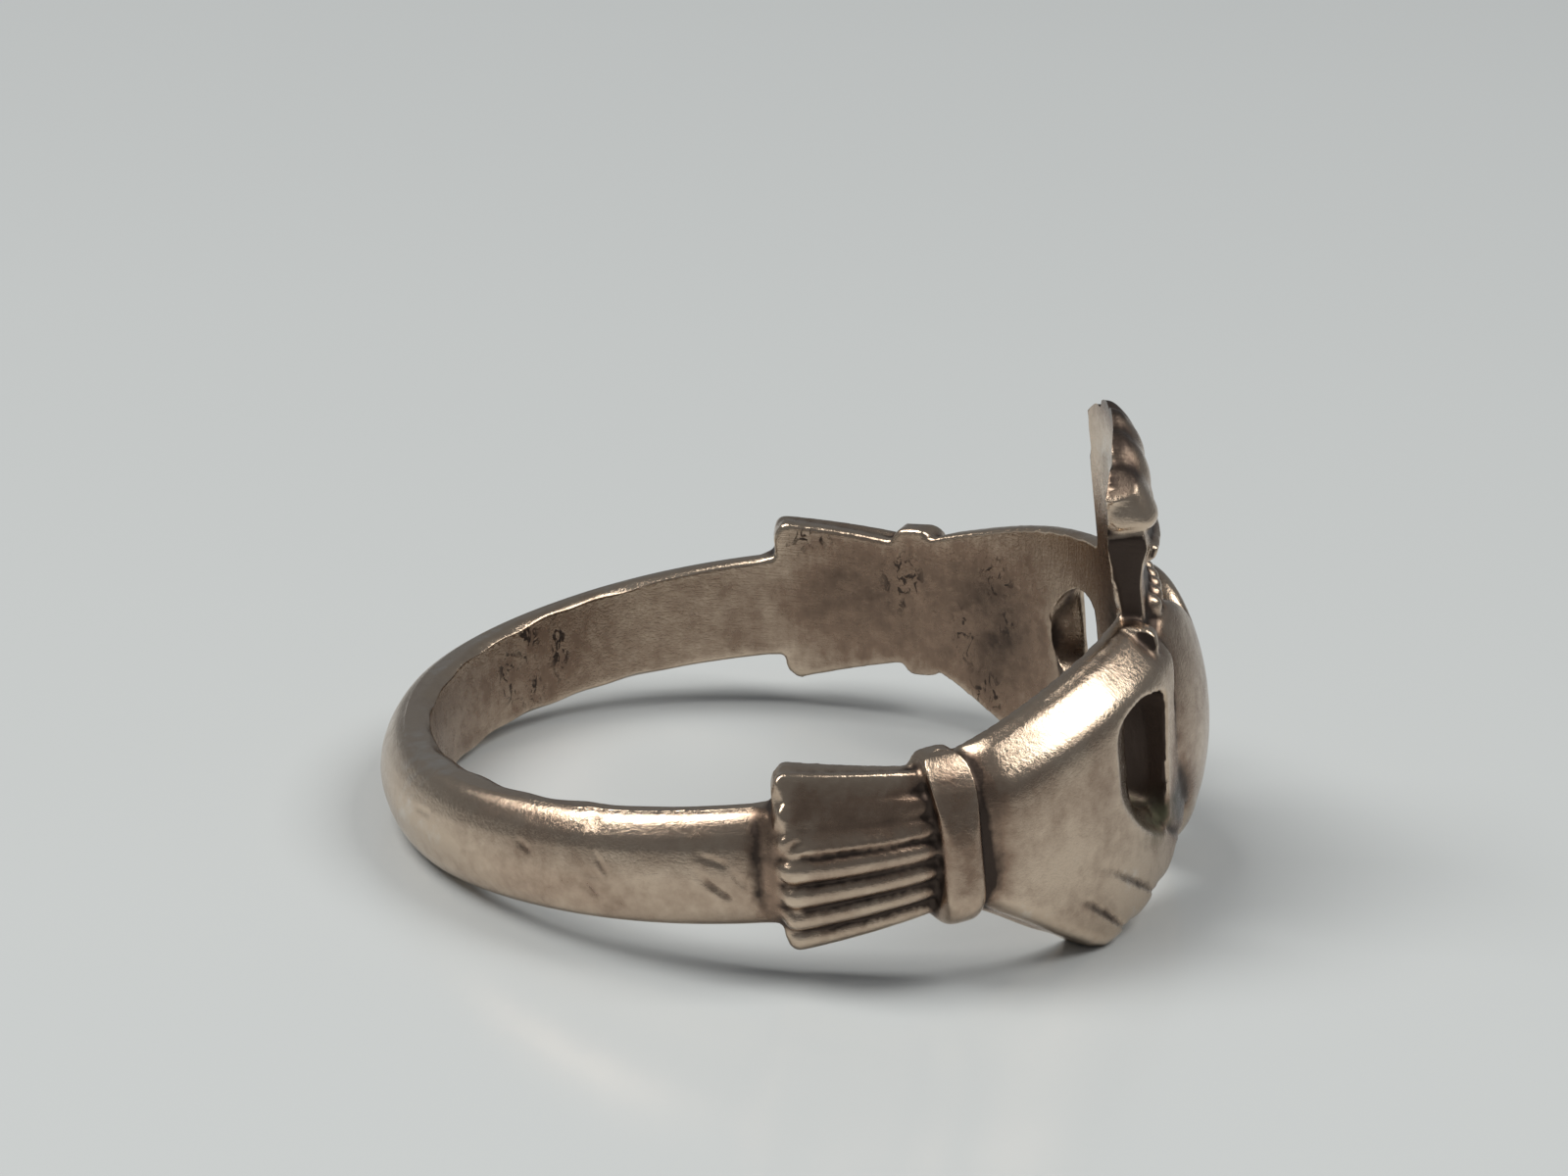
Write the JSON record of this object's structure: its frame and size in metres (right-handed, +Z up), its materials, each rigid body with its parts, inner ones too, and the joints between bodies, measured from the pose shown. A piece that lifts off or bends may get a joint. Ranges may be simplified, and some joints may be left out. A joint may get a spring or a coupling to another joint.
{
  "type": "claddagh ring",
  "caption": "Cast silver finger ring whose cuffed hands hold a domed heart under a crown, lying on its side.",
  "frame": {"origin": "middle of the bounding box's bottom, on the surface that the ring lies on", "axes": "+Z up from the surface, +X the way the heart faces; the finger hole's axis leans 9.77 degrees from +Z towards -X, because the ring rests on its two little fingers and on the back of its band"},
  "size_m": [0.0214, 0.0216, 0.012],
  "materials": {
    "tarnished_silver": "worn cast silver with brown-grey tarnish, bright where it is rubbed"
  },
  "bodies": {
    "root": {"ring": "tarnished_silver"}
  },
  "joints": []
}
